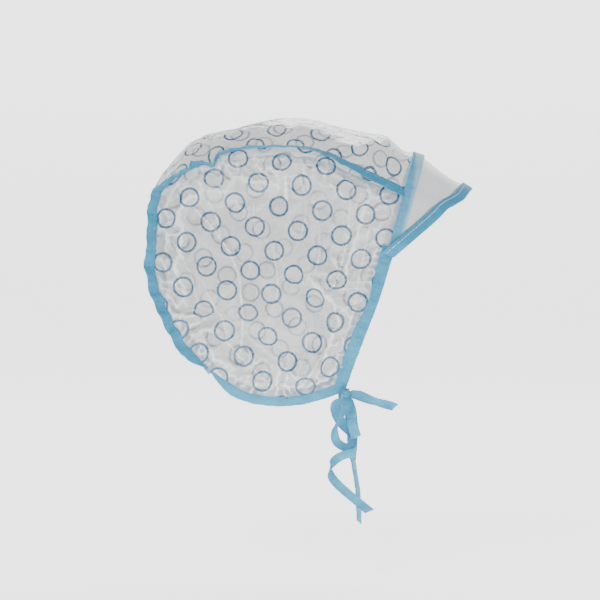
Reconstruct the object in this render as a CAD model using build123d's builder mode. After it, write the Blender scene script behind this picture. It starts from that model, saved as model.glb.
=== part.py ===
from build123d import *

import os
from math import acos, cos, pi, radians, sin, tan

# Highlighting cap: a bonnet of clear film in three panels, with taped seams, a bound neck and
# face edge, a plain film visor and ribbon ties that are tied in a bow at the right corner.
# Millimetres. +X is forward over the visor, +Y the wearer's left, +Z up. The origin is the
# middle of the head cavity, about level with the top of the ears.

FILM = 0.4            # thickness of the panels
TAPE = 1.2            # a binding: tape folded over the film, and the film in it
THREAD_WIDTH = 0.8
THREAD_HEIGHT = 0.3
THREAD_GAP = 0.05     # between a thread and the tape that it lies on
SEAM_FIN = 9.0        # how far a bound seam stands out from the panels
HEM_WIDTH = 7.5
FACE_WIDTH = 10.0
SEAM_TAPE_WIDTH = 9.0
VISOR_BIND_WIDTH = 9.5
VISOR_GAP = 0.5       # clearance between the moving visor and the tape it is sewn to

# Outline of a side panel in the XZ plane: crown seam from forehead to nape, neck, face edge.
SEAM = [(104, 84), (70, 100), (35, 115), (0, 119.5), (-38, 114.5), (-75, 100), (-98, 80),
        (-103, 52), (-101, 5), (-88, -28), (-57, -69)]
NECK = [(-57, -69), (-43, -86), (-12, -96), (20, -95), (54, -84)]
FACE = [(54, -84), (66, -52), (80, -14), (95, 30)]

# How far the side panels and the crown stand from the middle of the cap.
EDGE_WIDTH = 53.0     # from the middle plane to a crown seam
SIDE_BULGE = 27.0     # how much further out a side panel is at its middle
SIDE_MIDDLE = (5.0, 5.0)
SIDE_REACH_FRONT = 125.0
SIDE_REACH_BACK = 108.0
SIDE_REACH_TOP = 114.0
SIDE_REACH_BOTTOM = 105.0
NAPE_NARROWING = 12.0
CROWN_RISE = 22.0     # the crown band above its seams on top of the head
BACK_RISE = 4.5       # and behind the head
FRONT_RISE = 4.5      # more over the forehead
BACK_DROP = 0.5       # share of the rise that is lost where the crown turns down to the back

# The arch over the forehead where the visor is sewn on.
TEMPLE_X, TEMPLE_Z = 90.0, 33.6
ARCH_WIDTH = 67.0
ARCH_HEIGHT = 80.8
ARCH_LEAN = 0.29
VISOR_TIP = (165.0, 87.0)
VISOR_END = (96.0, 28.0)
VISOR_WIDTH = 65.0
VISOR_TRIM = 0.12     # radians of the arch at each temple that belong to the tape alone

RIBBON = 1.35         # radius of a round cord of the ribbon's section, 9.5 x 0.6
KNOT = (55.5, -65.0, -87.0)
KNOT_SIZE = (10.0, 9.0, 10.0)

# Routes of the ribbons.
CHIN_RUN = [(55, 57.5, -87.5), (55.5, 46, -93.5), (56, 26, -101), (56.5, 2, -105),
            (57, -22, -103.5), (56.5, -43, -96.5), (55.7, -59.3, -88.5)]
FORWARD_LOOP = [(59.5, -68, -86), (65, -71.5, -86.4), (72.6, -73.5, -89.9), (81.7, -74, -92.3),
                (91.2, -73.5, -95.3), (95.6, -70.5, -96.6), (95.4, -64, -96.8),
                (90.3, -60.5, -95.8), (78.9, -60, -92.8), (66.9, -61, -88.2), (59.5, -63, -86)]
HANGING_LOOP = [(53.5, -62.5, -91.2), (46.5, -60.8, -93.6), (46.5, -60.5, -102), (52.1, -60.5, -111),
                (59, -60.5, -117), (63.2, -61.6, -121.5), (63.7, -66.5, -122), (61.3, -69.8, -115),
                (60.2, -70, -107), (59.2, -69, -98), (57.5, -67, -91.2)]
CURLED_END = [(56, -68.8, -89), (56.3, -74, -94), (51.7, -76, -103.4), (46.5, -75, -112.8),
              (45.2, -70, -123.7), (53.2, -64, -130.6), (62.2, -63.2, -130.8), (63, -69.5, -134.4),
              (53.5, -75.5, -135), (43.5, -75, -141), (41, -70, -151), (46.5, -66.5, -159.3),
              (58.8, -66.5, -170.2), (73, -68, -181.5)]
STRAIGHT_END = [(56.5, -62.3, -91.2), (58.5, -59, -101.8), (60.8, -56.5, -115.9),
                (60.5, -56, -132.5), (61.5, -57, -142), (63.8, -57.5, -156.2),
                (66, -58, -170.4), (66.3, -58, -191.6)]


def ease(share):
    """A smooth step from 0 to 1."""
    share = min(max(share, 0.0), 1.0)
    return share * share * (3 - 2 * share)


def side_width(x, z):
    """How far a side panel is from the middle plane, over the point x, z."""
    reach_x = SIDE_REACH_FRONT if x > SIDE_MIDDLE[0] else SIDE_REACH_BACK
    reach_z = SIDE_REACH_TOP if z > SIDE_MIDDLE[1] else SIDE_REACH_BOTTOM
    across = (abs(x - SIDE_MIDDLE[0]) / reach_x) ** 2.6
    up = (abs(z - SIDE_MIDDLE[1]) / reach_z) ** 2.6
    dome = SIDE_BULGE * (1 - (across + up) ** (2.2 / 2.6))
    nape = NAPE_NARROWING * ease((-z - 20) / 50) * ease(-x / 60)
    return EDGE_WIDTH + dome - nape


def spline(points):
    return Edge.make_spline([Vector(x, 0, z) for x, z in points])


seam_line = spline(SEAM)
neck_line = spline(NECK)
face_line = spline(FACE)


def on_side(place):
    """The point of the right side panel over a place in the XZ plane."""
    return Vector(place.X, -side_width(place.X, place.Z), place.Z)


def outward(line, share, flip=1):
    """The unit vector in the XZ plane at right angles to a line."""
    along = line.tangent_at(share)
    return Vector(-along.Z, 0, along.X) * flip


def arch(angle, forward=0.0, out=0.0):
    """A point of the forehead arch, from the right temple at 0 to the left at pi."""
    width = ARCH_WIDTH + out
    rise = (ARCH_HEIGHT + out) * sin(angle)
    return Vector(TEMPLE_X + forward + ARCH_LEAN * rise, -width * cos(angle), TEMPLE_Z + rise)


def visor_edge(angle):
    """A point of the visor's free edge."""
    reach = sin(angle)
    x = VISOR_END[0] + (VISOR_TIP[0] - VISOR_END[0]) * reach
    z = VISOR_END[1] + (VISOR_TIP[1] - VISOR_END[1]) * reach
    return Vector(x, -VISOR_WIDTH * cos(angle), z)


def crown(share, across):
    """A point of the crown band: share runs from forehead to nape, across from -1 to 1."""
    place = seam_line.position_at(share)
    normal = outward(seam_line, share, -1)
    top_rise = CROWN_RISE * (1 - BACK_DROP * ease((-place.X - 62) / 34))
    rise = BACK_RISE + top_rise * max(normal.Z, 0.0) ** 1.2 + FRONT_RISE * ease(place.X / 80)
    width = side_width(place.X, place.Z)
    bend = normal * (rise * (1 - abs(across) ** 2.2))
    edge, here = arch(acos(width / ARCH_WIDTH)), arch(acos(abs(across) * width / ARCH_WIDTH))
    front = ease(1 - share / 0.2)
    offset = bend * (1 - front) + Vector(here.X - edge.X, 0, here.Z - edge.Z) * front
    return place + offset + Vector(0, across * width, 0)


def strip(base, way, width, rows=3):
    """A grid of points from a line of base points, each moved up to width along its own way."""
    return [[p + w * (width * row / (rows - 1)) for p, w in zip(base, way)]
            for row in range(rows)]


def between(low, high, rows=3):
    """A grid of points between two lines."""
    return [[a + (b - a) * (row / (rows - 1)) for a, b in zip(low, high)] for row in range(rows)]


def surface(grid):
    return Face.make_surface_from_array_of_points(grid, tol=0.05)


def raised(grid, height):
    """The same grid, moved along its own normals."""
    rows, columns = len(grid), len(grid[0])
    result = []
    for i in range(rows):
        line = []
        for j in range(columns):
            up = grid[min(i + 1, rows - 1)][j] - grid[max(i - 1, 0)][j]
            along = grid[i][min(j + 1, columns - 1)] - grid[i][max(j - 1, 0)]
            line.append(grid[i][j] + up.cross(along).normalized() * height)
        result.append(line)
    return result


def thread_on(grid, centre, width, side):
    """The line of stitches along a strip, lying on the tape's face at a share of its width."""
    first, last = grid[0], grid[-1]
    half = THREAD_WIDTH / 2 / width
    low = [a + (b - a) * (centre - half) for a, b in zip(first, last)]
    high = [a + (b - a) * (centre + half) for a, b in zip(first, last)]
    gap = TAPE / 2 + THREAD_GAP
    return raised(between(low, high), side * gap)


def shares(count, low=0.0, high=1.0):
    return [low + (high - low) * i / (count - 1) for i in range(count)]


# ---- grids that more than one piece uses

side_grid = [[Vector(x, -side_width(x, z), z) for x in shares(13, -125, 125)]
             for z in shares(13, -118, 138)]

seam_shares = shares(25, 0.01, 0.985)
seam_base = [on_side(seam_line.position_at(s)) for s in seam_shares]
seam_way = [(outward(seam_line, s, -1) * 0.75 + Vector(0, -0.66, 0)).normalized()
            for s in seam_shares]
seam_grid = strip(seam_base, seam_way, SEAM_FIN)

face_shares = shares(9, 0.02, 0.97)
face_base = [on_side(face_line.position_at(s)) for s in face_shares]
face_inner = [on_side(face_line.position_at(s) + outward(face_line, s) * FACE_WIDTH)
              for s in face_shares]
face_grid = between(face_base, face_inner)


def neck_path():
    """Lower and upper line of the neck binding, from the right corner round to the left."""
    lower, upper = [], []
    for s in shares(13, 1.0, 0.02):
        place = neck_line.position_at(s)
        lower.append(on_side(place))
        upper.append(on_side(place + outward(neck_line, s) * HEM_WIDTH))
    nape_share = 1 - HEM_WIDTH / seam_line.length
    for across in shares(5, -0.85, 0.0):
        lower.append(crown(1.0, across))
        upper.append(crown(nape_share, across))
    lower += [Vector(p.X, -p.Y, p.Z) for p in reversed(lower[:-1])]
    upper += [Vector(p.X, -p.Y, p.Z) for p in reversed(upper[:-1])]
    return soften(lower), soften(upper)


def soften(line, rounds=1):
    """The same line with its corners rounded, its two ends kept."""
    for _ in range(rounds):
        middle = [line[i] * 0.5 + (line[i - 1] + line[i + 1]) * 0.25
                  for i in range(1, len(line) - 1)]
        line = [line[0]] + middle + [line[-1]]
    return line


neck_lower, neck_upper = neck_path()
neck_grid = between(neck_lower, neck_upper)

arch_angles = shares(21, 0.0, pi)
tape_grid = between([arch(a, 0, 0.5) for a in arch_angles],
                    [arch(a, SEAM_TAPE_WIDTH, 0.5) for a in arch_angles])

visor_angles = shares(21, VISOR_TRIM, pi - VISOR_TRIM)
visor_rear = [arch(a, SEAM_TAPE_WIDTH + VISOR_GAP) for a in visor_angles]
visor_front = [visor_edge(a) for a in visor_angles]
visor_grid = between(visor_rear, visor_front, 3)


def bound_share(rear, front):
    """How much of the way from the free edge to the rear edge the visor's binding takes."""
    length = (rear - front).length
    return min(VISOR_BIND_WIDTH, length - 1.0) / length


visor_inner = [f + (r - f) * bound_share(r, f) for r, f in zip(visor_rear, visor_front)]
visor_bind_grid = between(visor_front, visor_inner)

# ---- film panels

with BuildSketch(Plane.XZ) as side_outline:
    with BuildLine():
        Spline(*SEAM)
        Spline(*NECK)
        Spline(*FACE)
        Line(FACE[-1], SEAM[0])
    make_face()

with BuildPart() as right_side_panel:
    thicken(surface(side_grid), amount=FILM)
    extrude(side_outline.sketch, amount=120, mode=Mode.INTERSECT)

with BuildPart() as left_side_panel:
    mirror(right_side_panel.part, about=Plane.XZ)

with BuildPart() as crown_band:
    crown_grid = [[crown(t, s) for t in shares(19)] for s in shares(9, -0.985, 0.985)]
    thicken(surface(crown_grid), amount=FILM)

with BuildPart() as visor_panel:
    thicken(surface(visor_grid), amount=FILM)

# ---- bindings and tape

with BuildPart() as right_seam_binding:
    thicken(surface(raised(seam_grid, -TAPE / 2)), amount=TAPE)

with BuildPart() as left_seam_binding:
    mirror(right_seam_binding.part, about=Plane.XZ)

with BuildPart() as right_face_binding:
    thicken(surface(raised(face_grid, -TAPE / 2)), amount=TAPE)

with BuildPart() as left_face_binding:
    mirror(right_face_binding.part, about=Plane.XZ)

with BuildPart() as neck_hem_binding:
    thicken(surface(raised(neck_grid, -TAPE / 2)), amount=TAPE)

with BuildPart() as visor_seam_tape:
    thicken(surface(raised(tape_grid, -TAPE / 2)), amount=TAPE)

with BuildPart() as visor_edge_binding:
    thicken(surface(raised(visor_bind_grid, -TAPE / 2)), amount=TAPE)

# ---- a thread along each binding

with BuildPart() as right_seam_thread:
    thicken(surface(thread_on(seam_grid, 0.3, SEAM_FIN, 1)), amount=THREAD_HEIGHT)

with BuildPart() as left_seam_thread:
    mirror(right_seam_thread.part, about=Plane.XZ)

with BuildPart() as right_face_thread:
    thicken(surface(thread_on(face_grid, 0.8, FACE_WIDTH, 1)), amount=THREAD_HEIGHT)

with BuildPart() as left_face_thread:
    mirror(right_face_thread.part, about=Plane.XZ)

with BuildPart() as neck_hem_thread:
    thicken(surface(thread_on(neck_grid, 0.75, HEM_WIDTH, 1)), amount=THREAD_HEIGHT)

with BuildPart() as visor_seam_thread:
    thicken(surface(thread_on(tape_grid, 0.25, SEAM_TAPE_WIDTH, 1)), amount=THREAD_HEIGHT)

with BuildPart() as visor_edge_thread:
    thicken(surface(thread_on(visor_bind_grid, 0.7, VISOR_BIND_WIDTH, 1)), amount=THREAD_HEIGHT)

# ---- corners and ties

TACK = (7.0, 3.0, 5.0)

with BuildPart() as right_corner_tack:
    with Locations(Location((54.0, -57.0, -83.0))):
        Box(*TACK)
    fillet(right_corner_tack.edges(), 1.0)

with BuildPart() as left_corner_tack:
    mirror(right_corner_tack.part, about=Plane.XZ)

with BuildPart() as bow_knot:
    with Locations(Location(KNOT)):
        Box(*KNOT_SIZE)
    fillet(bow_knot.edges(), 3.5)


def corner_radii(points):
    """The largest arc that each corner's two runs allow."""
    corners = [Vector(*p) for p in points]
    radii = []
    for before, here, after in zip(corners, corners[1:], corners[2:]):
        run_in, run_out = here - before, after - here
        turn = radians(run_in.get_angle(run_out))
        radii.append(0.45 * min(run_in.length, run_out.length) / tan(turn / 2))
    return radii


def ribbon(points, label):
    """Sweeps a round cord of the ribbon's section along a route, inside an open BuildPart."""
    radii = corner_radii(points)
    with BuildLine() as route:
        FilletPolyline(*points, radius=radii)
    start = route.wires()[0]
    with BuildSketch(Plane(origin=start @ 0, z_dir=start % 0)) as section:
        Circle(RIBBON)
    sweep(sections=section.sketch, path=start)
    ideal = pi * RIBBON ** 2 * start.length
    print(label, "length", round(start.length, 1), "radii", [round(r, 1) for r in radii],
          "section x length", round(ideal, 1))


with BuildPart() as left_tie_chin_run:
    ribbon(CHIN_RUN, "left_tie_chin_run")

with BuildPart() as forward_loop:
    ribbon(FORWARD_LOOP, "forward_loop")

with BuildPart() as hanging_loop:
    ribbon(HANGING_LOOP, "hanging_loop")

with BuildPart() as curled_end:
    ribbon(CURLED_END, "curled_end")

with BuildPart() as straight_end:
    ribbon(STRAIGHT_END, "straight_end")

# ---- write the pieces

pieces = {
    "right_side_panel": right_side_panel,
    "left_side_panel": left_side_panel,
    "crown_band": crown_band,
    "visor_panel": visor_panel,
    "right_seam_binding": right_seam_binding,
    "left_seam_binding": left_seam_binding,
    "right_face_binding": right_face_binding,
    "left_face_binding": left_face_binding,
    "neck_hem_binding": neck_hem_binding,
    "visor_seam_tape": visor_seam_tape,
    "visor_edge_binding": visor_edge_binding,
    "right_seam_thread": right_seam_thread,
    "left_seam_thread": left_seam_thread,
    "right_face_thread": right_face_thread,
    "left_face_thread": left_face_thread,
    "neck_hem_thread": neck_hem_thread,
    "visor_seam_thread": visor_seam_thread,
    "visor_edge_thread": visor_edge_thread,
    "right_corner_tack": right_corner_tack,
    "left_corner_tack": left_corner_tack,
    "bow_knot": bow_knot,
    "left_tie_chin_run": left_tie_chin_run,
    "forward_loop": forward_loop,
    "hanging_loop": hanging_loop,
    "curled_end": curled_end,
    "straight_end": straight_end,
}

os.makedirs("parts", exist_ok=True)
for name, piece in pieces.items():
    piece.part.label = name
    export_step(piece.part, f"parts/{name}.step")
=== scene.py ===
import math

import bpy
import numpy as np
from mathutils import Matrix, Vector, geometry, noise


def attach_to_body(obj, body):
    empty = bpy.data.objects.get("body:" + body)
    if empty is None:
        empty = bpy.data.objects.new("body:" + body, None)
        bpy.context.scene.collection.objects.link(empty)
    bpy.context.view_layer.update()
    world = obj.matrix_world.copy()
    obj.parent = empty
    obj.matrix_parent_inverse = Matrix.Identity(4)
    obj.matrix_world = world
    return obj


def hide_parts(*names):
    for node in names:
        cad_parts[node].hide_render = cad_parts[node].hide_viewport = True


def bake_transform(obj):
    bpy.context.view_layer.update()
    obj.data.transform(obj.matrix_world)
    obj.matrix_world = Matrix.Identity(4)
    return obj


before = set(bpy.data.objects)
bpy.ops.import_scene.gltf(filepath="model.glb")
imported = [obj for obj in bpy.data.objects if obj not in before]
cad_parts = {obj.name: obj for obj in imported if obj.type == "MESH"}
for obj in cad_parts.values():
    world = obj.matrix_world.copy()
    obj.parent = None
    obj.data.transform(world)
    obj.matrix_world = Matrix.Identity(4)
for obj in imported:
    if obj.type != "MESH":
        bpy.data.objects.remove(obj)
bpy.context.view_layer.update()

# Highlighting cap: looks. Outlines are in millimetres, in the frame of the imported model:
# +X forward over the visor, +Y the wearer's left, +Z up. Meshes are written in metres.

MM = 0.001

TAPE_THICK = 0.9
SEAM_FIN = 8.6           # width of the crown seams' tapes, which stand out as fins
HEM_WIDTH = 7.8
FACE_WIDTH = 10.4
SEAM_TAPE_WIDTH = 9.4
VISOR_BIND_WIDTH = 9.6
RIPPLE_LENGTH = 6.5      # of the small waves along a tape; its stitches ride on the same waves
RIBBON_THICK = 0.5

# Lines of the right side, as x and z, fitted to the photograph.
SEAM = [(104, 84), (70, 100), (35, 115), (0, 119.5), (-38, 114.5), (-75, 100), (-98, 80),
        (-103, 52), (-101, 5), (-88, -28), (-57, -69)]
NECK = [(-57, -69), (-43, -86), (-12, -96), (20, -95), (54, -84)]
FACE = [(54, -84), (66, -52), (80, -14), (95, 30)]

EDGE_WIDTH = 53.0        # from the middle plane to the edge of a side panel
SIDE_BULGE = 27.0        # how much further out its middle is
SIDE_MIDDLE = (5.0, 5.0)
SIDE_REACH_FRONT = 125.0
SIDE_REACH_BACK = 108.0
SIDE_REACH_TOP = 114.0
SIDE_REACH_BOTTOM = 105.0
NAPE_NARROWING = 12.0
CROWN_RISE = 22.0        # added to the rise of the crown's middle where it faces up
BACK_RISE = 4.5
FRONT_RISE = 4.5
BACK_DROP = 0.5          # share of CROWN_RISE that is lost at the back
CROWN_HALF = 62.0        # half the flat width of the crown band
KINK_SHARE = 0.442       # where the crown seam folds into a short notch
KINK_DEPTH = 6.5

TEMPLE_X, TEMPLE_Z = 90.0, 33.6
ARCH_WIDTH = 67.0
ARCH_HEIGHT = 84.3
ARCH_LEAN = 0.29
VISOR_TIP = (165.0, 87.0)
VISOR_END = (96.0, 28.0)
VISOR_WIDTH = 65.0

MESH_STEP = 3.0          # edge length of the film's triangles before they are subdivided
EDGE_STEP = 2.4          # between the points of the film's outline along the crown seam
FILM_EXCESS = 0.035      # how much longer the film is than the space that it fills, as a share
SIM_FRAMES = 25
MOVE_LIMIT = 9.0         # the furthest that the simulation may move a point
SHARP_BEND = 0.13        # rise of a point over its neighbours at a full crease

RING_PITCH = 25.75       # between the centres of neighbouring rings, on a square lattice
RING_ANCHOR = (2.3, 105.0)
RING_WAY = (-0.769, -0.639)
RING_RADIUS = 7.6
RING_LINE = 1.08         # half the width of a ring's line, with its soft edge
FILM_ALPHA = 0.46
INK = (0.001, 0.085, 0.195)


def placed(name, data):
    """A new object in the scene."""
    made = bpy.data.objects.new(name, data)
    bpy.context.scene.collection.objects.link(made)
    return made


# ---- camera and light

def build_camera():
    """Level with the cap, square to its right side, framed as the photograph is."""
    distance, centre_x, centre_z, frame_width = 1600.0, 17.2, -8.6, 516.0
    data = bpy.data.cameras.new("camera")
    data.sensor_width = 36.0
    data.lens = data.sensor_width * distance / frame_width
    data.clip_start, data.clip_end = 0.05, 50.0
    camera = placed("camera", data)
    camera.location = Vector((centre_x, -distance, centre_z)) * MM
    camera.rotation_euler = (math.radians(90), 0, 0)
    bpy.context.scene.camera = camera


def area_light(name, place, aim, size, power):
    data = bpy.data.lights.new(name, "AREA")
    data.shape, data.size, data.energy = "SQUARE", size, power
    lamp = placed(name, data)
    lamp.location = place
    lamp.rotation_euler = (Vector(aim) - Vector(place)).to_track_quat("-Z", "Y").to_euler()


def build_studio():
    world = bpy.data.worlds.new("studio")
    world.use_nodes = True
    sky = world.node_tree.nodes["Background"].inputs
    sky["Color"].default_value, sky["Strength"].default_value = (1, 1, 1, 1), 0.36
    bpy.context.scene.world = world
    area_light("key", (-0.5, -1.3, 1.3), (0, 0, 0), 0.5, 17)
    area_light("fill", (1.2, -0.9, 0.5), (0, 0, 0), 0.9, 5)
    area_light("rim", (0.2, 1.2, 1.2), (0, 0, 0), 0.7, 10)
    data = bpy.data.meshes.new("floor")
    floor_z, half = -0.24, 4.0
    rise = [(-half, floor_z), (half * 0.55, floor_z)]
    rise += [(half * 0.55 + 0.9 * math.sin(a), floor_z + 0.9 * (1 - math.cos(a)))
             for a in np.linspace(0.1, math.pi / 2, 12)]
    rise.append((half * 0.55 + 0.9, 3.5))
    verts = [(x, y, z) for y, z in rise for x in (-half, half)]
    faces = [(2 * i, 2 * i + 1, 2 * i + 3, 2 * i + 2) for i in range(len(rise) - 1)]
    data.from_pydata(verts, [], faces)
    for face in data.polygons:
        face.use_smooth = True
    data.materials.append(paper_material())
    placed("floor", data)


# ---- small tools

def spline_through(points, count=900):
    """Evenly spaced points of the smooth cubic curve through a few points."""
    p = np.array(points, float)
    step = np.linalg.norm(np.diff(p, axis=0), axis=1)
    t = np.concatenate([[0], np.cumsum(step)])
    n = len(t)
    matrix, right = np.eye(n), np.zeros((n, p.shape[1]))
    for i in range(1, n - 1):
        before, after = step[i - 1], step[i]
        matrix[i, i - 1:i + 2] = before, 2 * (before + after), after
        right[i] = 6 * ((p[i + 1] - p[i]) / after - (p[i] - p[i - 1]) / before)
    bend = np.linalg.solve(matrix, right)
    where = np.linspace(0, t[-1], count)
    i = np.clip(np.searchsorted(t, where, side="right") - 1, 0, n - 2)
    h = step[i][:, None]
    a, b = (t[i + 1] - where)[:, None], (where - t[i])[:, None]
    curve = (bend[i] * a ** 3 + bend[i + 1] * b ** 3) / (6 * h)
    curve += (p[i] / h - bend[i] * h / 6) * a + (p[i + 1] / h - bend[i + 1] * h / 6) * b
    return even(curve, count)


def even(line, count):
    """A line resampled to evenly spaced points."""
    s = lengths(line)
    where = np.linspace(0, s[-1], count)
    return np.stack([np.interp(where, s, line[:, k]) for k in range(line.shape[1])], 1)


def lengths(line):
    """Distance from the start of a line to each of its points."""
    return np.concatenate([[0], np.cumsum(np.linalg.norm(np.diff(line, axis=0), axis=1))])


def along(line, share):
    """Points of an evenly spaced line at shares of its length."""
    where = np.clip(np.asarray(share, float), 0, 1) * (len(line) - 1)
    index = np.arange(len(line))
    return np.stack([np.interp(where, index, line[:, k]) for k in range(line.shape[1])], -1)


def tangent(line, share):
    step = 1.5 / len(line)
    way = along(line, np.asarray(share) + step) - along(line, np.asarray(share) - step)
    return way / np.linalg.norm(way, axis=-1, keepdims=True)


def ease(share):
    share = np.clip(share, 0, 1)
    return share * share * (3 - 2 * share)


def unit(v):
    return v / np.maximum(np.linalg.norm(v, axis=-1, keepdims=True), 1e-9)


def wave(places, scale, seed, octaves=3):
    """Smooth noise from -1 to 1 at each place, with features about scale in size."""
    shift = Vector((seed * 17.3, seed * -9.1, seed * 5.7))
    return np.array([noise.fractal(Vector(p) / scale + shift, 1.0, 2.0, octaves)
                     for p in places])


def make_object(name, verts, faces, material, smooth=True):
    """A mesh object from points in millimetres."""
    data = bpy.data.meshes.new(name)
    data.from_pydata((np.asarray(verts, float) * MM).tolist(), [], faces)
    data.validate()
    if smooth:
        data.polygons.foreach_set("use_smooth", [True] * len(data.polygons))
    data.materials.append(material)
    return placed(name, data)


def attach(made, body, node):
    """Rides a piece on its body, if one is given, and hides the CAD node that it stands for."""
    if body:
        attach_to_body(made, body)
    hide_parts(node)


# ---- shape of the cap

seam_line = spline_through(SEAM)
neck_line = spline_through(NECK)
face_line = spline_through(FACE)
SEAM_LENGTH = lengths(seam_line)[-1]


def side_width(x, z):
    """How far a side panel is from the middle plane, over the point x, z."""
    x, z = np.asarray(x, float), np.asarray(z, float)
    reach_x = np.where(x > SIDE_MIDDLE[0], SIDE_REACH_FRONT, SIDE_REACH_BACK)
    reach_z = np.where(z > SIDE_MIDDLE[1], SIDE_REACH_TOP, SIDE_REACH_BOTTOM)
    across = (np.abs(x - SIDE_MIDDLE[0]) / reach_x) ** 2.6
    up = (np.abs(z - SIDE_MIDDLE[1]) / reach_z) ** 2.6
    dome = SIDE_BULGE * (1 - (across + up) ** (2.2 / 2.6))
    nape = NAPE_NARROWING * ease((-z - 20) / 50) * ease(-x / 60)
    width = EDGE_WIDTH + dome - nape
    arch_rise = np.clip((z - TEMPLE_Z) / ARCH_HEIGHT, 0, 0.99)
    arch_y = ARCH_WIDTH * np.sqrt(1 - arch_rise ** 2)
    front_x = TEMPLE_X + 4 + ARCH_LEAN * (z - TEMPLE_Z)
    near = ease(1 - (front_x - x) / 35) * ease((z - 5) / 25)
    return width * (1 - near) + arch_y * near


def on_side(place, side=-1, out=0.0):
    """Points of a side panel over places in the XZ plane; side is -1 for the right panel."""
    place = np.atleast_2d(place)
    width = side_width(place[:, 0], place[:, 1]) + out
    return np.stack([place[:, 0], side * width, place[:, 1]], 1)


def arch(angle, forward=0.0, out=0.0):
    """Points of the forehead arch, from the right temple at 0 to the left at pi."""
    angle = np.asarray(angle, float)
    rise = (ARCH_HEIGHT + out) * np.sin(angle)
    return np.stack([TEMPLE_X + forward + ARCH_LEAN * rise,
                     -(ARCH_WIDTH + out) * np.cos(angle), TEMPLE_Z + rise], -1)


def visor_edge(angle):
    """Points of the visor's free edge."""
    reach = np.sin(angle)
    return np.stack([VISOR_END[0] + (VISOR_TIP[0] - VISOR_END[0]) * reach,
                     -VISOR_WIDTH * np.cos(angle),
                     VISOR_END[1] + (VISOR_TIP[1] - VISOR_END[1]) * reach], -1)


def seam_normal(share):
    way = tangent(seam_line, share)
    return np.stack([way[..., 1], -way[..., 0]], -1)


def crown(share, across, rise_extra=0.0):
    """Points of the crown band: share runs from forehead to nape, across from -1 to 1."""
    share, across = np.broadcast_arrays(np.asarray(share, float), np.asarray(across, float))
    hold = (np.abs(across) ** 5)[..., None]
    place = seam_place(share) * hold + along(seam_line, share) * (1 - hold)
    normal = seam_normal(share)
    top_rise = CROWN_RISE * (1 - BACK_DROP * ease((-place[..., 0] - 62) / 34))
    rise = (BACK_RISE + top_rise * np.maximum(normal[..., 1], 0) ** 1.2
            + FRONT_RISE * ease(place[..., 0] / 80) + rise_extra)
    width = side_width(place[..., 0], place[..., 1])
    bend = normal * (rise * (1 - np.abs(across) ** 2.2))[..., None]
    edge = arch(np.arccos(np.clip(width / ARCH_WIDTH, -1, 1)))
    here = arch(np.arccos(np.clip(np.abs(across) * width / ARCH_WIDTH, -1, 1)))
    front = ease(1 - share / 0.2)[..., None]
    offset = bend * (1 - front) + (here - edge)[..., [0, 2]] * front
    flat = place + offset
    return np.stack([flat[..., 0], across * width, flat[..., 1]], -1)


def seam_place(share):
    """The crown seam in the XZ plane, with the small waves that its gathers give it."""
    share = np.asarray(share, float)
    s = share * SEAM_LENGTH
    hold = ease(share / 0.04) * ease((1 - share) / 0.04)
    ripple = 0.55 * np.sin(s / 3.1 + 1.7 * np.sin(s / 17)) + 0.9 * np.sin(s / 11.0 + 0.7)
    back = ease((share - 0.3) / 0.12)
    kink = KINK_DEPTH * np.exp(-((share - KINK_SHARE) * SEAM_LENGTH / 4.2) ** 2)
    move = hold * (ripple * (0.35 + 0.65 * back) - kink)
    return along(seam_line, share) + seam_normal(share) * move[..., None]


def fill(loop, step):
    """Points and triangles inside a closed outline: even triangles of edge length step."""
    loop = np.asarray(loop, float)
    low, high = loop.min(0), loop.max(0)
    rows = np.arange(low[1] + step / 2, high[1], step * math.sqrt(3) / 2)
    inside = []
    start, end = loop, np.roll(loop, -1, axis=0)
    for k, y in enumerate(rows):
        crosses = (start[:, 1] > y) != (end[:, 1] > y)
        a, b = start[crosses], end[crosses]
        cut = np.sort(a[:, 0] + (y - a[:, 1]) * (b[:, 0] - a[:, 0]) / (b[:, 1] - a[:, 1]))
        for x in np.arange(low[0] + (k % 2) * step / 2, high[0], step):
            if np.searchsorted(cut, x) % 2:
                inside.append((x, y))
    inside = np.array(inside)
    gap = np.min([np.min((inside[:, None, :] - part[None]) ** 2 @ np.ones(2), axis=1)
                  for part in np.array_split(loop, 8)], axis=0)
    inside = inside[gap > (0.6 * step) ** 2]
    every = np.vstack([loop, inside])
    edges = [(i, (i + 1) % len(loop)) for i in range(len(loop))]
    flat = [Vector(p) for p in every]
    points, _, faces, _, _, _ = geometry.delaunay_2d_cdt(flat, edges, [], 1, 1e-5)
    return np.array([tuple(p) for p in points]), [list(f) for f in faces], len(loop)


seam_shares = np.linspace(0, 1, int(SEAM_LENGTH / EDGE_STEP))
seam_flat = seam_place(seam_shares)


def side_outline():
    """The side panel's outline in the XZ plane: seam, neck, face edge and forehead."""
    neck = along(neck_line, np.linspace(0, 1, 50))[1:]
    face = along(face_line, np.linspace(0, 1, 50))[1:]
    front = face[-1] + (seam_flat[0] - face[-1]) * np.linspace(0, 1, 24)[1:-1, None]
    return np.vstack([seam_flat, neck, face, front])


CROWN_LENGTH = float(lengths(crown(np.linspace(0, 1, 200), np.zeros(200)))[-1])


def crown_outline():
    """The crown band's flat outline: along the band, and across it."""
    u = seam_shares * CROWN_LENGTH
    ends = np.linspace(-CROWN_HALF, CROWN_HALF, 52)[1:-1]
    low = np.stack([u, np.full(len(u), -CROWN_HALF)], 1)
    right = np.stack([np.full(50, CROWN_LENGTH), ends], 1)
    return np.vstack([low, right, low[::-1] * (1, -1), right[::-1] * (0, 1)])


def ring_uv(flat, anchor, way=RING_WAY):
    """Flat places in units of the ring lattice, so that ring centres are whole numbers."""
    p = (np.asarray(flat) - anchor) / RING_PITCH
    u = p @ np.array(way)
    v = p @ np.array([-way[1], way[0]])
    return np.stack([u, v], 1)


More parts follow.
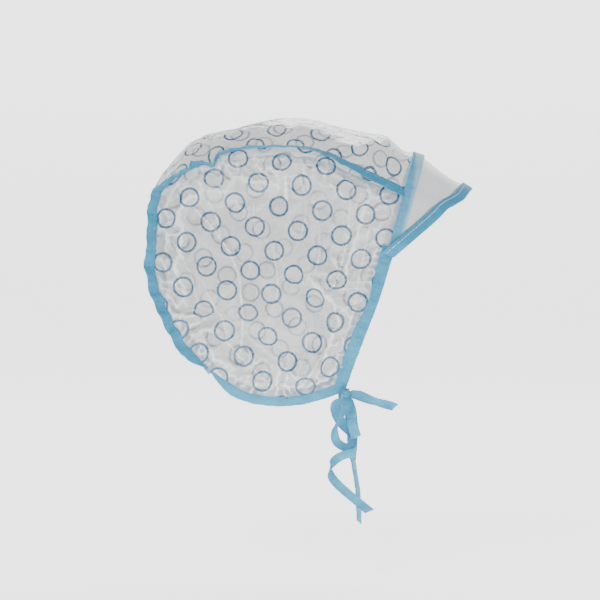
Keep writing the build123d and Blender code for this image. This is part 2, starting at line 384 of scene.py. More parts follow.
def set_uv(made, uv, name="print"):
    layer = made.data.uv_layers.new(name=name)
    loop_vertex = np.empty(len(made.data.loops), int)
    made.data.loops.foreach_get("vertex_index", loop_vertex)
    layer.data.foreach_set("uv", np.asarray(uv, np.float32)[loop_vertex].ravel())


def set_value(made, name, values):
    layer = made.data.attributes.new(name, "FLOAT", "POINT")
    layer.data.foreach_set("value", np.asarray(values, np.float32))


def build_film():
    """The three printed panels. One cloth simulation crumples them all, held at their rims."""
    side_flat, side_faces, side_rim = fill(side_outline(), MESH_STEP)
    crown_flat, crown_faces, crown_rim = fill(crown_outline(), MESH_STEP)
    right = on_side(side_flat)
    left = on_side(side_flat, 1)
    top = crown(crown_flat[:, 0] / CROWN_LENGTH, crown_flat[:, 1] / CROWN_HALF)
    verts = np.vstack([right, left, top])
    starts = [0, len(right), len(right) + len(left)]
    faces = side_faces + [[i + starts[1] for i in reversed(f)] for f in side_faces]
    faces += [[i + starts[2] for i in f] for f in crown_faces]
    side_held = held_by_tape(side_flat, side_rim)
    crown_end = (1 - ease((CROWN_LENGTH - crown_flat[:, 0]) / 14)) ** 0.5
    crown_front = 1 - ease(crown_flat[:, 0] / 14)
    crown_held = np.maximum(crown_end, crown_front)
    crown_held[:crown_rim] = 1
    pinned = np.concatenate([side_held, side_held, crown_held])
    give = np.ones(len(verts))
    give[starts[2]:] = 0.1 + 0.45 * ease((crown_flat[:, 0] - 15) / 45)
    verts = verts + (crumple(verts, faces, pinned) - verts) * give[:, None]
    flipped = [list(reversed(f)) for f in side_faces]
    panels = [
        ("right_side_film", verts[:starts[1]], side_faces, "right_side_panel", side_flat,
         ring_uv(side_flat, RING_ANCHOR)),
        ("left_side_film", verts[starts[1]:starts[2]], flipped, "left_side_panel", side_flat,
         ring_uv(side_flat, (13.0, 96.0), (-0.6, -0.8))),
        ("crown_film", verts[starts[2]:], crown_faces, "crown_band", crown_flat,
         ring_uv(crown_flat, (30.0, 6.0), (0.66, 0.75)))]
    for (name, points, triangles, node, flat, uv), folds in zip(panels, FOLD_SETS):
        points, triangles, uv, flat = finer(points, triangles, uv, flat)
        raised = fold_height(flat, folds)
        if node != "crown_band":
            raised = raised * (1 - held_by_tape(flat, side_rim))
        points = points + outward_normals(points, triangles) * raised[:, None]
        film = make_object(name, points, triangles, printed_film)
        bend = sharpness(points, triangles)
        # The crease values drive the film's painted shade in valleys and painted highlight on ridges;
        # the crown's are weaker.
        set_value(film, "crease", bend * (0.45 if node == "crown_band" else 1.0))
        set_uv(film, uv)
        attach(film, "cap", node)


# Long folds of the film: a line of flat places, height and half width.
SIDE_FOLDS = [
    ([(-75.8, 71.9), (-44.9, 36.1), (-33.3, 7.2), (-33.3, -10.6)], 3.6, 2.8),
    ([(-58.5, 73.2), (-51, 53.4), (-47, 36)], 1.6, 2.0),
    ([(-34, 22), (-32, -14), (-35, -66)], 2.2, 2.6),
    ([(-64.1, 2.9), (-51, -22.5), (-44, -48)], 1.7, 2.4),
    ([(-92, 44), (-74, 12), (-66, -24)], 1.5, 2.6),
    ([(-22, 73.2), (-20.7, 48)], 1.3, 1.6),
    ([(17, -19.3), (20.2, -34.5), (15, -70)], 1.6, 2.0),
    ([(44, -10.7), (55.8, -52)], 1.8, 2.2),
    ([(58, 78), (54, 30), (42, -8)], 1.7, 2.4),
    ([(76, 58), (68, 18), (58, -30)], 1.7, 2.2),
    ([(12, 104), (22, 66), (12, 30)], 1.0, 1.6),
    ([(-50, -40), (-28, -62), (-2, -84)], 1.6, 2.2),
    ([(-26, -44), (6, -66), (30, -88)], 1.4, 2.0),
    ([(36, -48), (22, -74), (8, -90)], 1.5, 1.8),
    ([(-8, 44), (-2, 6), (-14, -34)], 1.0, 1.8),
    ([(30, 70), (33, 28), (27, 2)], 1.0, 1.6)]
FOLD_SETS = [
    SIDE_FOLDS,
    [([(x * 0.96 + 3, z - 4) for x, z in line], height, width)
     for line, height, width in SIDE_FOLDS],
    [([(20, -50), (60, -20), (104, -8)], 1.4, 2.2), ([(50, 40), (96, 16), (140, 24)], 1.5, 2.4),
     ([(120, -44), (150, -22), (188, -30)], 1.7, 2.4), ([(160, 50), (182, 10), (220, -14)], 1.6, 2.6),
     ([(200, -50), (230, -30), (262, -34)], 1.4, 2.2), ([(250, 40), (290, 12), (322, 20)], 1.5, 2.2),
     ([(14, 30), (46, 8), (84, 12)], 1.2, 2.0), ([(176, -58), (196, -40), (206, -20)], 1.4, 1.8)]]


def mean_beside(points, pairs):
    """For each point, the mean of the points that it is paired with."""
    total, count = np.zeros_like(points), np.zeros(len(points))
    for a, b in pairs:
        np.add.at(total, a, points[b])
        np.add.at(count, a, 1)
    return total / count[:, None]


def finer(points, triangles, *flat_values):
    """Each triangle cut in four; the points are smoothed, the flat values only divided."""
    tri = np.array(triangles)
    sides = np.sort(np.vstack([tri[:, [0, 1]], tri[:, [1, 2]], tri[:, [2, 0]]]), axis=1)
    edges, which = np.unique(sides, axis=0, return_inverse=True)
    which = which.ravel()
    facing = np.concatenate([tri[:, 2], tri[:, 0], tri[:, 1]])
    near = np.zeros((len(edges), 3))
    used = np.zeros(len(edges))
    np.add.at(near, which, points[facing])
    np.add.at(used, which, 1)
    middle = points[edges].mean(1)
    inner = used == 2
    middle[inner] = middle[inner] * 0.75 + near[inner] / 8
    beside = mean_beside(points, (edges.T, edges[:, ::-1].T))
    pull = np.full(len(points), 0.375)
    pull[edges[~inner].ravel()] = 0.0
    moved = points * (1 - pull)[:, None] + beside * pull[:, None]
    a, b, c = tri.T
    ab, bc, ca = which.reshape(3, -1) + len(points)
    cut = np.vstack([np.stack(t, 1) for t in ((a, ab, ca), (ab, b, bc), (ca, bc, c), (ab, bc, ca))])
    values = [np.vstack([v, np.asarray(v)[edges].mean(1)]) for v in flat_values]
    return [np.vstack([moved, middle]), cut.tolist()] + values


def outward_normals(points, triangles):
    """A unit vector at each point, square to the film and away from the head."""
    tri = np.array(triangles)
    a, b, c = points[tri].transpose(1, 0, 2)
    square = np.cross(b - a, c - a)
    normal = np.zeros_like(points)
    for k in range(3):
        np.add.at(normal, tri[:, k], square)
    normal = unit(normal)
    return normal if np.sum(normal * (points - (0, 0, 10))) > 0 else -normal


def sharpness(points, triangles):
    """How sharply the film bends at each point: above 0 on a ridge, below 0 in a valley."""
    a, b, c = np.array(triangles).T
    beside = mean_beside(points, ((a, b), (b, c), (c, a), (b, a), (c, b), (a, c)))
    bend = np.sum((points - beside) * outward_normals(points, triangles), axis=1)
    return np.clip(bend / SHARP_BEND, -1, 1)


def fold_height(flat, folds):
    """How far the folds lift each point of a panel."""
    height = np.zeros(len(flat))
    for line, lift, width in folds:
        path = even(spline_through(line, 120), 80)
        gap = np.linalg.norm(flat[:, None] - path[None], axis=2)
        nearest = np.argmin(gap, axis=1)
        fade = np.sin(np.pi * np.clip(nearest / 79, 0.01, 0.99)) ** 0.6
        sway = 1 + 0.3 * wave(np.column_stack([flat, flat[:, :1] * 0]), 12, 17)
        ridge = np.exp(-np.min(gap, axis=1) / (width * 0.8))
        dip = 0.45 * np.exp(-(np.min(gap, axis=1) / (width * 2.4)) ** 2)
        height += lift * sway * fade * (ridge - dip)
    return height


def held_by_tape(flat, rim):
    """How firmly the tapes hold each point of a side panel, from 0 to 1."""
    edge = np.vstack([side_outline()[len(seam_flat):], seam_flat[:len(seam_flat) // 3]])
    gap = np.min(np.linalg.norm(flat[:, None] - edge[None], axis=2), axis=1)
    held = 1 - ease((gap - 9) / 9)
    held[:rim] = 1
    return held


def crumple(verts, faces, pinned):
    """Cloth simulation: the film is cut a little larger than the space between its seams."""
    work = make_object("film_work", verts, faces, printed_film)
    group = work.vertex_groups.new(name="pin")
    for i, weight in enumerate(pinned):
        group.add([i], float(weight), "REPLACE")
    cloth = work.modifiers.new("film", "CLOTH")
    use = cloth.settings
    use.vertex_group_mass = "pin"
    use.quality = 5
    use.mass = 0.02
    use.tension_stiffness = use.compression_stiffness = 15
    use.shear_stiffness = 8
    use.bending_stiffness = 0.02
    use.shrink_min = -FILM_EXCESS
    use.effector_weights.gravity = 0.0
    cloth.collision_settings.use_collision = False
    cloth.point_cache.frame_start, cloth.point_cache.frame_end = 1, SIM_FRAMES
    scene = bpy.context.scene
    for step in range(1, SIM_FRAMES + 1):
        scene.frame_set(step)
    done = work.evaluated_get(bpy.context.evaluated_depsgraph_get()).to_mesh()
    result = np.empty(len(verts) * 3)
    done.vertices.foreach_get("co", result)
    result = result.reshape(-1, 3) / MM
    work.evaluated_get(bpy.context.evaluated_depsgraph_get()).to_mesh_clear()
    bpy.data.objects.remove(work)
    scene.frame_set(1)
    move = result - verts
    size = np.linalg.norm(move, axis=1, keepdims=True)
    return verts + move * np.minimum(1, MOVE_LIMIT / np.maximum(size, 1e-6))


# ---- tapes and threads

def cross_unit(a, b):
    return unit(np.cross(a, b))


def slope(line):
    return unit(np.gradient(line, axis=0))


# Thickness of a tape, as a share, at shares of its width from its open side to its fold.
TAPE_ACROSS = (0.0, 0.015, 0.08, 0.2, 0.35, 0.5, 0.65, 0.8, 0.92, 0.98, 1.0)
TAPE_PLUMP = (0.35, 0.8, 0.9, 0.8, 0.95, 1.0, 1.0, 1.0, 1.0, 0.75, 0.0)
SIX_WAYS = [k * math.pi / 3 for k in range(6)]


def closed_skin(count, around):
    """Faces of a closed band: count sections of around points each, and its two ends."""
    faces = [(i * around + j, i * around + (j + 1) % around,
              (i + 1) * around + (j + 1) % around, (i + 1) * around + j)
             for i in range(count - 1) for j in range(around)]
    faces.append(tuple(reversed(range(around))))
    faces.append(tuple((count - 1) * around + j for j in range(around)))
    return faces


def folded_tape(name, inner, outer, material, thick=TAPE_THICK, ripple=0.4, seed=1):
    """Tape folded over an edge: from its open side, the inner line, to its fold, the outer."""
    way = outer - inner
    normal = cross_unit(slope(0.5 * (inner + outer)), way)
    across = list(zip(TAPE_ACROSS, TAPE_PLUMP))
    ring = [(a, t) for a, t in across] + [(a, -t) for a, t in reversed(across[:-1])]
    moved = {a: ripple * wave(inner + way * a, RIPPLE_LENGTH, seed + 0.02 * a)[:, None]
             for a in TAPE_ACROSS}
    verts = np.stack([inner + way * a + normal * (moved[a] + plump * thick / 2)
                      for a, plump in ring], 1)
    count, around = verts.shape[:2]
    made = make_object(name, verts.reshape(-1, 3), closed_skin(count, around), material)
    run = lengths(inner)
    uv = [(run[i], a * np.linalg.norm(way[i])) for i in range(count) for a, _ in ring]
    set_uv(made, np.array(uv) * MM, "tape")
    return made, normal


def bead(verts, faces, rings):
    """Adds a six-sided tube through rings of points, open at its ends."""
    first = len(verts)
    verts += [point for ring in rings for point in ring]
    faces += [(first + 6 * r + k, first + 6 * r + (k + 1) % 6,
               first + 6 * r + 6 + (k + 1) % 6, first + 6 * r + 6 + k)
              for r in range(len(rings) - 1) for k in range(6)]
    return first


def stitches(name, line, normal, lift, body, node, pitch=3.3, radius=0.2, thread=None):
    """A row of stitches along a line, on both faces of the tape that it lies on."""
    run = lengths(line)
    verts, faces = [], []
    for middle in np.arange(pitch, run[-1] - pitch, pitch):
        for face in (1, -1):
            rings = []
            for share, size in ((-0.5, 0.35), (-0.38, 1.0), (0.0, 1.1), (0.38, 1.0), (0.5, 0.35)):
                where = (middle + share * pitch * 0.8) / run[-1]
                centre, up = along(line, where), unit(along(normal, where)) * face
                sink = (1 - size) * 0.35
                side = cross_unit(slope_at(line, where), up)
                rings.append([centre + up * (lift - sink + radius * size * math.sin(angle))
                              + side * radius * size * math.cos(angle) for angle in SIX_WAYS])
            first = bead(verts, faces, rings)
            faces.append(tuple(first + k for k in reversed(range(6))))
            faces.append(tuple(first + 24 + k for k in range(6)))
    made = make_object(name, verts, faces, thread or blue_thread)
    attach(made, body, node)
    return made


def sewn(name, inner, outer, up, share, ripple, seed, lift, body, node, **kind):
    """A row of stitches at a share of the way across a tape, on the tape's own ripples."""
    line = inner + (outer - inner) * share
    line = line + up * ripple * wave(line, RIPPLE_LENGTH, seed)[:, None]
    return stitches(name, line, up, lift, body, node, **kind)


def slope_at(line, share):
    return unit(along(line, share + 0.004) - along(line, share - 0.004))


def soften(line, rounds):
    for _ in range(rounds):
        line = np.vstack([line[:1], 0.5 * line[1:-1] + 0.25 * (line[:-2] + line[2:]), line[-1:]])
    return line


def longer(line, start=0.0, end=0.0):
    """A line carried straight on, by a length before its start and past its end."""
    before = line[0] + unit(line[0] - line[4]) * np.linspace(start, 0.2 * start, 5)[:, None]
    after = line[-1] + unit(line[-1] - line[-5]) * np.linspace(0.2 * end, end, 5)[:, None]
    return np.vstack([before] * (start > 0) + [line] + [after] * (end > 0))


def mirrored(line):
    return line * np.array([1, -1, 1])


# How the fins lean, along the seam: 1 stands up, 0 points sideways, -1 lies on the side panel.
LEAN_SHARES = (0.0, 0.08, 0.16, 0.25, 0.34, 0.42, 0.5, 0.55, 0.585, 0.7, 0.9, 0.97, 1.0)
LEAN = (-0.85, -0.78, -0.5, -0.12, 0.12, 0.25, 0.25, 0.4, 0.9, 0.93, 0.93, 0.85, 0.7)


def build_seam_bindings():
    """The taped crown seams, which stand out from the cap as narrow gathered fins."""
    share = np.linspace(0.004, 0.99, 420)
    place = seam_place(share)
    lean = np.interp(share, LEAN_SHARES, LEAN)
    gathers = np.exp(-((share - 0.48) / 0.075) ** 2)
    lean = lean + (0.08 + 0.5 * gathers) * wave(on_side(place), 9, 3)
    lean = np.clip(lean, -0.95, 0.98)
    taper = 1 - 0.8 * ease((share - 0.945) / 0.045)
    for side, word, seed in ((-1, "right", 2), (1, "left", 7)):
        base = on_side(place, side)
        normal = seam_normal(share)
        out = np.sqrt(1 - lean ** 2) * side
        way = np.stack([normal[:, 0] * lean, out, normal[:, 1] * lean], 1)
        frill = 0.08 * wave(base, 22, seed + 11) + (0.05 + 0.12 * gathers) * wave(base, 5, seed)
        width = SEAM_FIN * (1 + frill) * (0.86 + 0.14 * np.abs(lean)) * taper
        drop = np.maximum(-lean, 0.0)
        hung = on_side(place - normal * (width * drop)[:, None], side, 2.2 + 5.5 * (1 - drop))
        stood = base + way * width[:, None]
        inner = longer(base - way * 1.0, start=3.2)
        outer = longer(np.where((lean < 0)[:, None], hung, stood), start=3.2)
        if side > 0:
            inner, outer = inner[::-1], outer[::-1]
        tape, up = folded_tape(f"{word}_seam_tape", inner, outer, blue_tape, ripple=0.9, seed=seed)
        attach(tape, "cap", f"{word}_seam_binding")
        sewn(f"{word}_seam_stitches", inner, outer, up, 0.3, 0.9, seed + 0.006, 0.5,
             "cap", f"{word}_seam_thread")


def neck_lines(width):
    """Lower and upper line of the neck hem, from the right corner round to the left."""
    share = np.linspace(1.0, 0.0, 120)
    place = along(neck_line, share)
    way = tangent(neck_line, share)
    inward = np.stack([-way[:, 1], way[:, 0]], 1)
    part = width * (0.35 + 0.65 * ease(share / 0.16))
    low, high = on_side(place), on_side(place + inward * part[:, None])
    across = np.linspace(-1, 0, 40)[1:]
    low_back = crown(np.full(39, 1.0), across)
    part = width * (0.35 + 0.65 * ease((across + 1) / 0.35))
    high_back = crown(1 - part / CROWN_LENGTH, across)
    low, high = np.vstack([low, low_back]), np.vstack([high, high_back])
    low = np.vstack([low, mirrored(low[:-1][::-1])])
    high = np.vstack([high, mirrored(high[:-1][::-1])])
    return even(soften(low, 6), 420), even(soften(high, 6), 420)


def build_neck_hem():
    low, high = neck_lines(HEM_WIDTH)
    low = low + (low - high) * 0.04
    tape, up = folded_tape("neck_hem_tape", high, low, hem_tape, ripple=0.55, seed=4)
    attach(tape, "cap", "neck_hem_binding")
    sewn("neck_hem_stitches", high, low, up, 0.22, 0.55, 4.004, 0.48, "cap", "neck_hem_thread")


def build_face_bindings():
    share = np.linspace(0.0, 1.0, 150)
    place, way = along(face_line, share), tangent(face_line, share)
    inward = np.stack([-way[:, 1], way[:, 0]], 1)
    width = FACE_WIDTH * (1 - 0.16 * np.exp(-((share - 0.62) / 0.12) ** 2))
    for side, word, seed in ((-1, "right", 5), (1, "left", 9)):
        sway = 0.8 * np.sin(share * 9.0 + seed)[:, None] * inward
        outer = longer(on_side(place + sway * 0.6, side), end=3.6)
        inner = longer(on_side(place + sway + inward * width[:, None], side), end=3.6)
        if side > 0:
            inner, outer = inner[::-1], outer[::-1]
        tape, up = folded_tape(f"{word}_face_tape", inner, outer, hem_tape, 1.0, 0.5, seed)
        attach(tape, "cap", f"{word}_face_binding")
        sewn(f"{word}_face_stitches", inner, outer, up, 0.2, 0.5, seed + 0.004, 0.52,
             "cap", f"{word}_face_thread")


def falling(angle, drop):
    """How far the forehead arch slopes down ahead of its seam, most at its top."""
    return np.outer(np.sin(angle) ** 2, (0.0, 0.0, drop))


def build_visor():
    """The visor film, its bound edge and the tape over the seam that holds it."""
    angle = np.linspace(0.0, math.pi, 241)
    seam_rear = arch(angle, -0.3, 0.9)
    seam_front = arch(angle, SEAM_TAPE_WIDTH, 0.9) - falling(angle, 3.2)
    tape, up = folded_tape("visor_seam_tape_soft", seam_rear, seam_front, pale_tape, 0.7, 0.3, 6)
    attach(tape, "cap", "visor_seam_tape")
    sewn("visor_seam_stitches", seam_rear, seam_front, up, 0.14, 0.3, 6.004, 0.38,
         "cap", "visor_seam_thread")

    angle = np.linspace(0.035, math.pi - 0.035, 181)
    rear, front = arch(angle, SEAM_TAPE_WIDTH - 3.0) - falling(angle, 2.2), visor_edge(angle)
    from_end = np.minimum(angle, math.pi - angle)
    front[:, 2] += 1.5 * np.exp(-((from_end - 0.7) / 0.11) ** 2)
    front[:, 2] -= 2.3 * np.exp(-((from_end - 1.02) / 0.14) ** 2)
    rows = np.linspace(0, 1, 26)
    verts = np.stack([rear + (front - rear) * b for b in rows], 0)
    normal = cross_unit(slope(0.5 * (rear + front)), front - rear)
    camber = 2.2 * np.sin(math.pi * rows)[:, None, None] * np.sin(angle)[None, :, None]
    crease = 2.8 * np.exp(-np.abs(from_end - 0.77) / 0.16)
    camber = camber + (np.sin(math.pi * rows) ** 0.7)[:, None, None] * crease[None, :, None]
    sway = wave(verts.reshape(-1, 3), 45, 12, 2).reshape(len(rows), -1, 1)
    edge = (np.sin(math.pi * rows) ** 0.5)[:, None, None]
    verts = verts + normal[None] * (camber + 2.0 * sway * edge)
    count = len(angle)
    faces = [(r * count + c, r * count + c + 1, (r + 1) * count + c + 1, (r + 1) * count + c)
             for r in range(len(rows) - 1) for c in range(count - 1)]
    film = make_object("visor_film_soft", verts.reshape(-1, 3), faces, clear_film)
    attach(film, None, "visor_panel")

    length = np.linalg.norm(rear - front, axis=1)
    take = np.minimum(VISOR_BIND_WIDTH, length + 3.0) / length
    inner = front + (rear - front) * take[:, None]
    lap = np.stack([np.full(count, -6.4), np.where(angle < 1.5, -4.9, 4.9), np.full(count, 7.2)], 1)
    lap = lap + np.array((-3.8, 0, -3.3)) * (1 - ease((from_end - 0.035) / 0.06))[:, None]
    share = (1 - ease((from_end - 0.06) / 0.2))[:, None]
    inner = inner * (1 - share) + (front + lap) * share
    outer = front + unit(front - rear) * 0.4
    out = (1 - ease((from_end - 0.12) / 0.22)) * np.where(angle < 1.5, -1, 1)
    inner[:, 1] += 2.2 * out
    outer[:, 1] += 4.2 * out
    inner, outer = longer(inner, 5.5, 5.5), longer(outer, 5.5, 5.5)
    bind, up = folded_tape("visor_edge_tape", inner, outer, blue_tape, 1.0, 0.45, 8)
    attach(bind, None, "visor_edge_binding")
    thread = sewn("visor_edge_stitches", inner, outer, up, 0.3, 0.45, 8.006, 0.55, None,
                  "visor_edge_thread", pitch=3.0, radius=0.26, thread=pale_thread)
    for piece in (film, bind, thread):
        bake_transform(piece)
    return film


# ---- ribbons

# Control points of the ribbons' routes, the same as in the CAD.
CHIN_RUN = [(55, 57.5, -87.5), (55.5, 46, -93.5), (56, 26, -101), (56.5, 2, -105),
            (57, -22, -103.5), (56.5, -43, -96.5), (55.7, -59.3, -88.5)]
FORWARD_LOOP = [(59.5, -68, -86), (65, -71.5, -86.4), (72.6, -73.5, -89.9), (81.7, -74, -92.3),
                (91.2, -73.5, -95.3), (95.6, -70.5, -96.6), (95.4, -64, -96.8),
                (90.3, -60.5, -95.8), (78.9, -60, -92.8), (66.9, -61, -88.2), (59.5, -63, -86)]
HANGING_LOOP = [(53.5, -62.5, -91.2), (46.5, -60.8, -93.6), (46.5, -60.5, -102), (52.1, -60.5, -111),
                (59, -60.5, -117), (63.2, -61.6, -121.5), (63.7, -66.5, -122), (61.3, -69.8, -115),
                (60.2, -70, -107), (59.2, -69, -98), (57.5, -67, -91.2)]
CURLED_END = [(56, -68.8, -89), (56.3, -74, -94), (51.7, -76, -103.4), (46.5, -75, -112.8),
              (45.2, -70, -123.7), (53.2, -64, -130.6), (62.2, -63.2, -130.8), (63, -69.5, -134.4),
              (53.5, -75.5, -135), (43.5, -75, -141), (41, -70, -151), (46.5, -66.5, -159.3),
              (58.8, -66.5, -170.2), (73, -68, -181.5)]
STRAIGHT_END = [(56.5, -62.3, -91.2), (58.5, -59, -101.8), (60.8, -56.5, -115.9),
                (60.5, -56, -132.5), (61.5, -57, -142), (63.8, -57.5, -156.2),
                (66, -58, -170.4), (66.3, -58, -191.6)]


def route_points(route):
    """Points along the smooth line that has a route's points as its control points."""
    data = bpy.data.curves.new("route", "CURVE")
    data.dimensions = "3D"
    data.resolution_u = 24
    line = data.splines.new("NURBS")
    line.points.add(len(route) - 1)
    for point, place in zip(line.points, route):
        point.co = (*[c * MM for c in place], 1)
    line.order_u = 3
    line.use_endpoint_u = True
    holder = placed("route", data)
    mesh = bpy.data.meshes.new_from_object(holder)
    points = np.array([tuple(v.co) for v in mesh.vertices]) / MM
    bpy.data.objects.remove(holder)
    bpy.data.meshes.remove(mesh)
    return points


def ribbon(name, route, widths, wide, body, node, cut=0.0, seed=1,
           sizes=((0, 1), (1, 1)), tuck=(0.0, 0.0)):
    """A flat ribbon along a route. widths gives the way that its width points at each point.

    tuck is how far its start and its end go on into the knot."""
    raw = route_points(route)
    knots = np.clip(np.arange(len(route)) - 0.5, 0, len(route) - 2)
    where = np.linspace(0, len(route) - 2, len(raw))
    broad = np.stack([np.interp(where, knots, np.array(widths, float)[:, k]) for k in range(3)], 1)
    count = max(60, int(lengths(raw)[-1] / 0.8))
    run = lengths(raw)
    even_at = np.linspace(0, run[-1], count)
    path = even(raw, count)
    broad = np.stack([np.interp(even_at, run, broad[:, k]) for k in range(3)], 1)
    path = longer(path, *tuck)
    broad = np.vstack([broad[:1]] * (5 * (tuck[0] > 0)) + [broad]
                      + [broad[-1:]] * (5 * (tuck[1] > 0)))
    even_at, count = lengths(path), len(path)
    way = slope(path)
    broad = unit(broad - way * np.sum(broad * way, axis=1, keepdims=True))
    normal = np.cross(way, broad)
    share = np.linspace(0, 1, count)
    size = wide * np.interp(share, *zip(*sizes)) * (1 + 0.05 * wave(path, 11, seed + 5))
    across = (-0.5, -0.48, -0.4, -0.3, -0.27, -0.24, -0.1, 0.1, 0.25, 0.38, 0.48, 0.5)
    groove = (0, 0, 0, 0, -0.14, 0, 0, 0, 0, 0, 0, 0)
    columns = []
    ring = [(a, g, 1) for a, g in zip(across, groove)]
    ring += [(a, -g, -1) for a, g in reversed(list(zip(across, groove)))]
    for a, g, face in ring:
        centre = along(path, share) + way * (cut * (a + 0.5) * share ** 6)[:, None]
        bow = 0.5 * (a * a * 4) - 0.2
        waves = 0.35 * wave(path + broad * a * 9, 8.0, seed)
        thick = RIBBON_THICK / 2 * (0.6 if abs(a) == 0.5 else 1.0)
        offset = bow + waves + face * (thick + g * face)
        columns.append(centre + broad * (a * size)[:, None] + normal * offset[:, None])
    verts = np.stack(columns, 1)
    skin = closed_skin(count, len(ring))
    made = make_object(name, verts.reshape(-1, 3), skin, tie_ribbon)
    set_uv(made, np.array([(s, a * wide) for s in even_at for a, _, _ in ring]) * MM, "tape")
    attach(made, body, node)
    return made


UP, ALONG = (0, 0, 1), (1, 0, 0)


def build_ribbons():
    ribbon("left_tie", CHIN_RUN, [ALONG] * 7, 9.0, "cap", "left_tie_chin_run",
           seed=21, sizes=((0, 0.8), (0.1, 1), (0.9, 1), (1, 0.7)), tuck=(0.0, 2.4))
    slant = (0.7, 0, 0.7)
    ribbon("front_bow_loop", FORWARD_LOOP,
           [UP, UP, (0.05, 0, 1), (0.1, 0, 1), (0.4, 0, 1), slant, slant, (0.4, 0, 1),
            (0.1, 0, 1), UP, UP],
           8.4, "bow", "forward_loop", seed=22,
           sizes=((0, 0.8), (0.1, 1), (0.2, 0.9), (0.27, 0.7), (0.36, 0.85), (0.64, 0.85),
                  (0.73, 0.7), (0.82, 0.9), (1, 0.8)))
    ribbon("lower_bow_loop", HANGING_LOOP,
           [ALONG, ALONG, ALONG, (0.8, 0, 0.5), (0.6, 0, 0.6), (0.7, 0, 0.3), (0.8, 0, 0.2),
            (1, 0, 0.1), ALONG, ALONG, ALONG],
           8.6, "bow", "hanging_loop", seed=23,
           sizes=((0, 0.7), (0.1, 1), (0.9, 1), (1, 0.8)))
    ribbon("curled_tie_end", CURLED_END,
           [ALONG, (1, -0.2, 0.3), (0.8, -0.5, 0.5), (0.4, -0.5, 0.75), (0.3, -0.3, 0.9), UP, UP,
            UP, UP, (0.2, 0, 1), (0.2, 0, 1), (0.5, 0, 0.9), (0.6, 0, 0.75), (0.6, 0, 0.75)],
           7.3, "bow", "curled_end", cut=4.0, seed=24,
           sizes=((0, 0.9), (0.06, 1.2), (0.14, 0.6), (0.2, 0.75), (0.27, 1), (1, 1)))
    turned = (0.4, -0.9, 0)
    ribbon("straight_tie_end", STRAIGHT_END,
           [ALONG, ALONG, ALONG, (0.8, -0.5, 0), (0.45, -0.9, 0), turned, turned, turned],
           9.0, "bow", "straight_end", cut=2.5, seed=25,
           sizes=((0, 0.8), (0.1, 1), (1, 1)), tuck=(2.4, 0.0))


def build_knot():
    """The bow's knot: three turns of ribbon drawn tight round each other."""
    centre = np.array((55.5, -65.0, -87.0))
    turns = [((0.25, 0, 1), 4.3, 4.3, 7.6, 0.3), ((1.0, 0.1, -0.35), 4.4, 4.0, 6.4, -0.9),
             ((-0.3, 0.3, 0.9), 3.9, 4.2, 6.8, 1.1)]
    verts, faces = [], []
    for axis, reach_a, reach_b, tall, roll in turns:
        axis = unit(np.array(axis, float))
        a = unit(np.cross(axis, (0.3, 1, 0.2)))
        b = np.cross(axis, a)
        a, b = a * math.cos(roll) + b * math.sin(roll), b * math.cos(roll) - a * math.sin(roll)
        first, segments, rows = len(verts), 48, 13
        for k in range(segments):
            angle = 2 * math.pi * k / segments
            for r in range(rows):
                h = r / (rows - 1) - 0.5
                pinch = 1 - 1.1 * h * h + 0.05 * math.sin(5 * angle + 7 * h)
                fold = 0.28 * math.sin(h * 17 + 2.2 * math.sin(angle))
                verts.append(centre + a * math.cos(angle) * (reach_a * pinch + fold)
                             + b * math.sin(angle) * (reach_b * pinch + fold)
                             + axis * h * tall * (1 + 0.15 * math.cos(2 * angle)))
        for k in range(segments):
            for r in range(rows - 1):
                i, j = first + k * rows + r, first + ((k + 1) % segments) * rows + r
                faces.append((i, j, j + 1, i + 1))
        faces.append(tuple(first + k * rows for k in reversed(range(segments))))
        faces.append(tuple(first + k * rows + rows - 1 for k in range(segments)))
    knot = make_object("tied_knot", verts, faces, tie_ribbon)
    run = np.array([(v[2] * 0.7, v[0]) for v in verts]) * MM
    set_uv(knot, run, "tape")
    attach(knot, "bow", "bow_knot")


def build_corners():
    """A bar of close zigzag stitches at each corner, where the ties are sewn on."""
    for side, word in ((-1, "right"), (1, "left")):
        centre = np.array((54.5, side * 58.6, -83.0))
        share = np.linspace(0, 1, 40)
        zigzag = np.stack([centre[0] + (share - 0.5) * 7.0,
                           centre[1] + 0 * share,
                           centre[2] + 1.1 * np.where(np.arange(40) % 2, 1, -1)], 1)
        up = np.array((0.0, side * 1.0, 0.0))
        verts, faces = [], []
        for p, q in zip(zigzag, zigzag[1:]):
            way = unit(q - p)
            flat = cross_unit(way, up)
            bead(verts, faces, [[end + 0.24 * size * (up * math.sin(t) + flat * math.cos(t))
                                 for t in SIX_WAYS]
                                for end, size in ((p, 0.6), (p + (q - p) * 0.5, 1.0), (q, 0.6))])
        tack = make_object(f"{word}_corner_stitches", verts, faces, blue_thread)
        attach(tack, "cap", f"{word}_corner_tack")


# ---- materials

